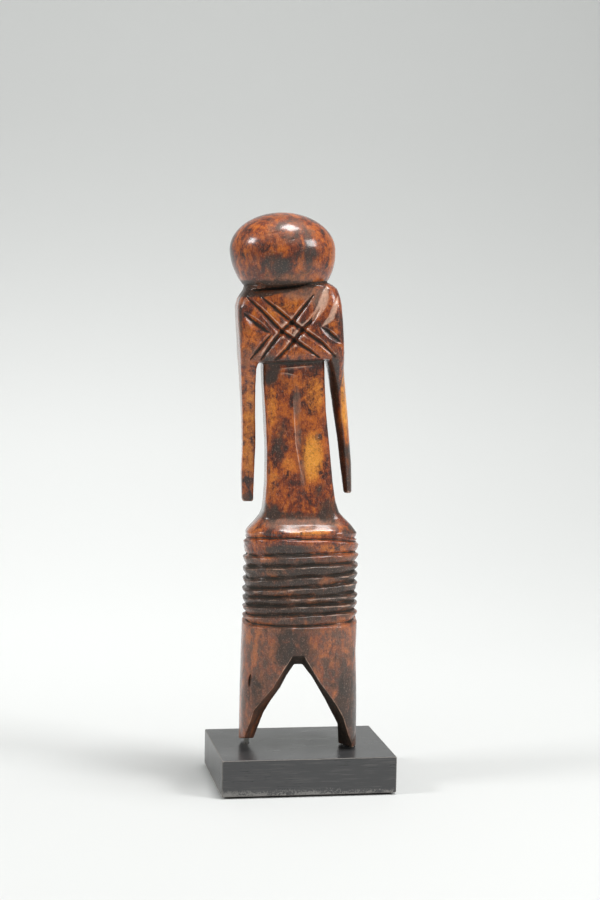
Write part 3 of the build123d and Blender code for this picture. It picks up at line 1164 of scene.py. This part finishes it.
    def blank(self, voxel: float) -> Piece:
        """Joins the forms into one piece of wood, with the fork and the pin holes cut.

        Args:
            voxel: how far apart its points are.

        Returns:
            The piece before its strokes are cut.
        """
        around = self.around
        legs = Bench.loft("legs", self.legs(), around)
        turned = tuple((2 * self.turning_line - across, up) for across, up in self.fork_front)
        back = tuple(reversed(turned))
        slices = [
            Slice(-self.beyond, self.fork_front),
            Slice(-self.fork_face, self.fork_front),
            Slice(0.0, self.fork_ridge),
            Slice(self.fork_face, back),
            Slice(self.beyond, back),
        ]
        Bench.cut(legs, Bench.loft("fork", slices, len(self.fork_front)))
        for (x, y), foot_end in zip(self.pins, self.foot_ends):
            Bench.cut(legs, self.foot_cutter(x, foot_end))
            Bench.cut(legs, Bench.peg("pin_hole", x, y, *self.hole_ends, self.hole_radius))
        chest = Bench.loft("chest", self.chest, around)
        for notch in (self.neck_notch, [wedge.turned() for wedge in self.neck_notch]):
            Bench.cut(chest, Bench.loft("neck_notch", notch, 3))
        forms = [
            legs,
            chest,
            Bench.loft("skirt", [self.skirt_root, *self.skirt()], 2 * around),
            Bench.loft("trunk", self.trunk, around),
            Bench.loft("left_arm", self.left_arm, around // 3),
            Bench.loft("right_arm", self.right_arm, around // 3),
            self.head(),
        ]
        Bench.pick(*forms)
        bpy.ops.object.join()
        blank = Bench.named("doll")
        Bench.modify(blank, "REMESH", mode="VOXEL", voxel_size=voxel, adaptivity=0.0)
        return blank

    def carve(self, blank: Piece, voxel: float) -> np.ndarray:
        """Wears the blank uneven and cuts the strokes.

        Args:
            blank: the joined forms.
            voxel: how far apart its points are.

        Returns:
            How rubbed, or lit with painted highlight, the strokes leave each point, 1 being fully.
        """
        surface = Surface(blank)
        surface.points = surface.averaged(surface.points, round(self.softening**2 / voxel**2))
        up = surface.points[:, 2]
        skirt = ramp(up, *self.skirt_foot) * (1 - ramp(up, *self.skirt_top))
        wander = np.zeros(surface.count)
        for height, stretch, seed in self.unevenness:
            wander += height * ripple(surface.points, stretch, seed)
        wander += self.ring_wear * skirt * ripple(surface.points, self.ring_grain, 5.3)
        wander *= 1 - 0.75 * ramp(up, *self.head_start)
        surface.points += surface.normals * wander[:, None]
        turned = [band.turned(self.bands_middle) for band in self.bands]
        both = [stroke for pair in zip(self.bands, turned) for stroke in pair]
        rubbed = np.zeros(surface.count)
        for stroke in (*both, *self.marks):
            rubbed = np.maximum(rubbed, stroke.wear_and_highlight * stroke.cut(surface))
        surface.points = surface.averaged(surface.points, 1)
        surface.write()
        return rubbed.clip(0, 1)

    def age(self, doll: Piece, voxel: float, rubbed: np.ndarray) -> None:
        """Stores what the finish reads: edges lightened by rubbing and painted highlight, hollows
        darkened by sooty blackening and painted shade, painted shadow in the neck notch and the fork,
        bare wood and patches of colour.

        Args:
            doll: the carved piece.
            voxel: how far apart its points are.
            rubbed: how rubbed, or lit with painted highlight, the strokes leave each point.
        """
        surface = Surface(doll)
        near = surface.hollowness(round(self.near_reach**2 / voxel**2))
        wide = surface.hollowness(round(self.wide_reach**2 / voxel**2))
        # Edges and rubbed strokes, lightened by rubbing and by painted highlights.
        surface.store("edge", np.maximum(ramp(-near, *self.edge_heights), rubbed))
        across, depth, up = surface.points.T
        # The fork's inner faces, made matt and darkened as painted shade.
        facing = -np.sign(across - self.turning_line) * surface.normals[:, 0]
        inward = ramp(facing - 0.6 * surface.normals[:, 2], 0.1, 0.6)
        fork = inward * (1 - ramp(up, *self.fork_top)) * ramp(self.fork_depth - abs(depth), -1, 3)
        # Hollows, darkened by sooty blackening and by painted shade.
        hollow = np.maximum(ramp(near, *self.near_depths), 0.7 * ramp(wide, *self.wide_depths))
        hollow *= 1 - 0.9 * rubbed
        surface.store("hollow", np.maximum(hollow, 0.4 * fork))
        # The neck notch under the head, made matt and darkened as painted shadow.
        corner, level = self.notch_corner
        notch_edge = level + self.notch_climb * np.maximum(across - corner, 0)
        neck = ramp(up - notch_edge, -0.2, 0.6) * (1 - ramp(up, *self.neck_top))
        surface.store("dry", np.maximum(0.92 * fork, 0.55 * np.maximum(hollow, neck)))
        # Painted shade on the fork's inner faces right of the middle and painted shadow in the neck
        # notch start the smoky mask; the legs and skirt start dusty grey with painted sheen.
        starts = {
            "smoke_and_shade": (0.9 * fork * ramp(across, -12, 2) + 1.2 * neck, self.smoked_and_shaded),
            "amber": (np.zeros(surface.count), self.ambered),
            "dust_and_sheen": (0.75 * (1 - ramp(up, *self.dust_and_sheen_top)), self.dust_and_sheen_patches),
        }
        for name, (start, patches) in starts.items():
            surface.store(name, sum((patch.mask(surface) for patch in patches), start).clip(0, 1))

    def lean(self) -> float:
        """Returns how far back the left pin stands for each unit across."""
        (left, left_back), (right, right_back) = self.pins
        return (left_back - right_back) / (right - left)

    def make(self, standing: Standing) -> Piece:
        """Makes the doll where it stands.

        Args:
            standing: its axes in the frame.

        Returns:
            The finished piece.
        """
        voxel = self.voxel * 1
        doll = self.blank(voxel)
        self.age(doll, voxel, self.carve(doll, voxel))
        faces = 2 * len(doll.data.polygons)
        if faces > self.triangles:
            Bench.modify(doll, "DECIMATE", decimate_type="COLLAPSE", ratio=self.triangles / faces)
        doll.data.transform(standing.matrix())
        Bench.outward(doll)
        Bench.pick(doll)
        bpy.ops.object.shade_smooth()
        doll.data.materials.append(VarnishedWood().material())
        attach(doll, "figure")
        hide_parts("carved_figure")
        return doll


# ---- the mount


@dataclass
class Mount:
    """The plinth, the felt under it and the two pins that hold the doll."""

    edge: float = 0.6 * MM
    edge_angle: float = 1.4
    hole_radius: float = 1.05 * MM
    hole_depth: float = 10.2 * MM
    felt_corner: float = 2.0 * MM
    felt_rim: float = 0.2 * MM
    felt_angle: float = 1.2
    pins: tuple[str, str] = ("left_foot_pin", "right_foot_pin")

    def plinth(self) -> Piece:
        """Returns the painted block, its edges eased and its pin holes drilled."""
        low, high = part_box("plinth_block")
        block = Bench.block("plinth", (low + high) / 2, high - low)
        for pin in self.pins:
            spot = sum(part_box(pin), Vector()) / 2
            bottom = high.z - self.hole_depth
            peg = Bench.peg("pin_hole", spot.x, spot.y, bottom, high.z + MM, self.hole_radius)
            Bench.cut(block, peg)
        Bench.ease(block, self.edge, self.edge_angle)
        block.data.materials.append(BlackPaint(tuple(low), tuple(high)).material())
        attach(block, "mount")
        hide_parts("plinth_block")
        return block

    def felt(self) -> Piece:
        """Returns the felt glued under the plinth, with rounded corners and a soft rim."""
        low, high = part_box("felt_sheet")
        felt = Bench.block("felt", (low + high) / 2, high - low)
        Bench.edit(felt)
        bpy.ops.mesh.select_all(action="DESELECT")
        bpy.ops.object.mode_set(mode="OBJECT")
        for edge in felt.data.edges:
            ends = [felt.data.vertices[index].co.z for index in edge.vertices]
            edge.select = abs(ends[0] - ends[1]) > high.z / 2
        bpy.ops.object.mode_set(mode="EDIT")
        bpy.ops.mesh.select_mode(type="EDGE")
        bpy.ops.mesh.bevel(offset=self.felt_corner, segments=8)
        bpy.ops.object.mode_set(mode="OBJECT")
        Bench.ease(felt, self.felt_rim, self.felt_angle)
        Bench.outward(felt)
        felt.data.materials.append(BlackFelt().material())
        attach(felt, "mount")
        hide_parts("felt_sheet")
        return felt

    def dress_pins(self, frame: dict) -> None:
        """Gives the frame's pins their steel."""
        steel = PinSteel().material()
        for pin in self.pins:
            for material_slot in frame["nodes"][pin].material_slots:
                material_slot.material = steel


# ---- the studio


@dataclass(frozen=True)
class Softbox:
    """A square soft light: where it stands from the doll's middle, its size and its power."""

    direction: Triple
    distance: float
    size: float
    power: float

    def make(self, name: str, aim: Vector) -> None:
        """Adds the light, facing the point that it is aimed at."""
        towards = Vector(self.direction).normalized()
        Bench.clear()
        bpy.ops.object.light_add(type="AREA", location=aim + towards * self.distance)
        light = Bench.named(name)
        light.rotation_mode = "QUATERNION"
        light.rotation_quaternion = towards.to_track_quat("Z", "Y")
        light.data.shape = "SQUARE"
        light.data.size = self.size
        light.data.energy = self.power


@dataclass
class Studio:
    """Pale paper, soft lights and the camera."""

    paper_width: float = 4.0
    paper_front: float = -1.6
    cove_start: float = 0.28
    cove_radius: float = 0.75
    paper_top: float = 2.2
    cove_steps: int = 24
    ambient: float = 0.26
    surround: tuple[float, float, float, float] = (0.98, 1.0, 0.98, 1.0)
    aim: Vector = field(default_factory=lambda: Vector((-0.00153, 0, 0.13888)))
    azimuth: float = -9.88
    elevation: float = 5.14
    roll: float = 1.0
    distance: float = 0.8268
    lens: float = 80.0
    lights: dict[str, Softbox] = field(
        default_factory=lambda: {
            "overhead": Softbox((0.135, -0.107, 0.983), 0.95, 0.30, 7.2),
            "left_box": Softbox((-0.823, -0.158, 0.544), 0.9, 0.22, 3.2),
            "right_box": Softbox((0.715, -0.505, 0.484), 0.9, 0.30, 4.2),
        }
    )

    def paper(self) -> None:
        """Lays the paper on the floor and sweeps it up behind the doll."""
        Bench.clear()
        bpy.ops.mesh.primitive_plane_add(size=self.paper_width, location=(0, 0, 0))
        paper = Bench.named("paper")
        for vertex in paper.data.vertices:
            vertex.select = vertex.co.y > 0
            vertex.co.y = self.cove_start if vertex.select else self.paper_front
        for edge in paper.data.edges:
            edge.select = all(paper.data.vertices[index].select for index in edge.vertices)
        for polygon in paper.data.polygons:
            polygon.select = False
        bpy.ops.object.mode_set(mode="EDIT")
        bpy.ops.mesh.select_mode(type="EDGE")
        turn = radians(90) / self.cove_steps
        for step in range(self.cove_steps):
            now, then = step * turn, (step + 1) * turn
            move = Vector((0, sin(then) - sin(now), cos(now) - cos(then))) * self.cove_radius
            bpy.ops.mesh.extrude_region_move(TRANSFORM_OT_translate={"value": move})
        bpy.ops.mesh.extrude_region_move(TRANSFORM_OT_translate={"value": (0, 0, self.paper_top)})
        bpy.ops.object.mode_set(mode="OBJECT")
        Bench.pick(paper)
        bpy.ops.object.shade_smooth()
        paper.data.materials.append(Paper().material())

    def camera(self) -> None:
        """Adds the camera at its viewing angle."""
        turn, tilt, roll = radians(self.azimuth), radians(self.elevation), radians(self.roll)
        back = Vector((sin(turn) * cos(tilt), -cos(turn) * cos(tilt), sin(tilt)))
        right = (-back).cross(Vector((0, 0, 1))).normalized()
        up = right.cross(-back)
        across = right * cos(roll) + up * sin(roll)
        over = up * cos(roll) - right * sin(roll)
        Bench.clear()
        bpy.ops.object.camera_add()
        camera = bpy.context.active_object
        camera.data.lens = self.lens
        camera.data.clip_start = 0.01
        pose = Matrix((across, over, back)).transposed().to_4x4()
        camera.matrix_world = Matrix.Translation(self.aim + back * self.distance) @ pose
        bpy.context.scene.camera = camera

    def light(self) -> None:
        """Adds the soft lights and the pale surroundings."""
        for name, softbox in self.lights.items():
            softbox.make(name, self.aim)
        world = bpy.data.worlds.new("surroundings")
        world.use_nodes = True
        background = world.node_tree.nodes["Background"]
        background.inputs["Color"].default_value = self.surround
        background.inputs["Strength"].default_value = self.ambient
        bpy.context.scene.world = world
        bpy.context.scene.view_settings.view_transform = "Standard"


def main() -> None:
    """Builds the doll, its mount and the studio."""
    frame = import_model()
    noise.seed_set(WOBBLE_SEED)
    studio = Studio()
    studio.paper()
    studio.light()
    studio.camera()
    mount, doll = Mount(), Doll()
    standing = Standing.on_pins(*mount.pins, "plinth_block", doll.lean())
    mount.dress_pins(frame)
    for piece in (mount.plinth(), mount.felt(), doll.make(standing)):
        LOG.info("%s: %d faces", piece.name, len(piece.data.polygons))


if __name__ == "__main__":
    logging.basicConfig(level=logging.INFO)
    main()
